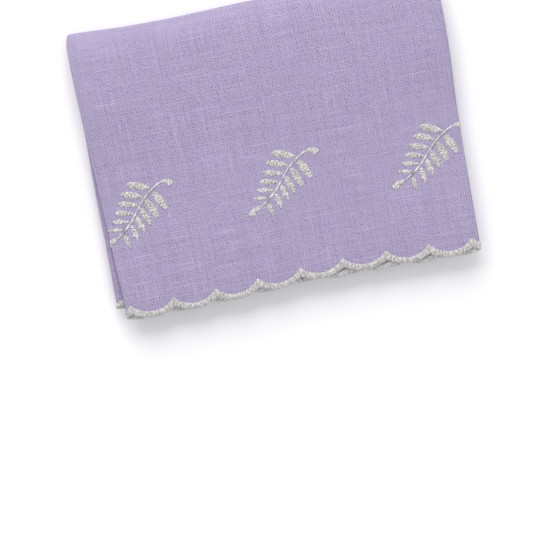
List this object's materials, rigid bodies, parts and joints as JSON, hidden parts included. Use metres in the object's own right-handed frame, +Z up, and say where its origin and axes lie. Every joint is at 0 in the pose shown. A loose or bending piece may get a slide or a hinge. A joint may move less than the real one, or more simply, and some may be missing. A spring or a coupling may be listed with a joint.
{
  "type": "hand towel",
  "caption": "Folded linen hand towel with a scalloped, stitched edging and a row of fern motifs, lying flat.",
  "frame": {"origin": "on the face that the folded towel rests on, at the middle of the panel's width and half way from the scalloped edge to the fold", "axes": "+X to the right along the scalloped edge, +Y from the scalloped edge towards the fold, +Z up through the layers"},
  "size_m": [0.1868, 0.1455, 0.0129],
  "materials": {
    "linen": "matte plain weave",
    "thread": "satin stitch, soft sheen"
  },
  "bodies": {
    "root": {"towel_cloth": "linen", "scallop_border_a": "thread", "scallop_border_b": "thread", "fern_left": "thread", "fern_middle": "thread", "fern_right": "thread"}
  },
  "joints": []
}
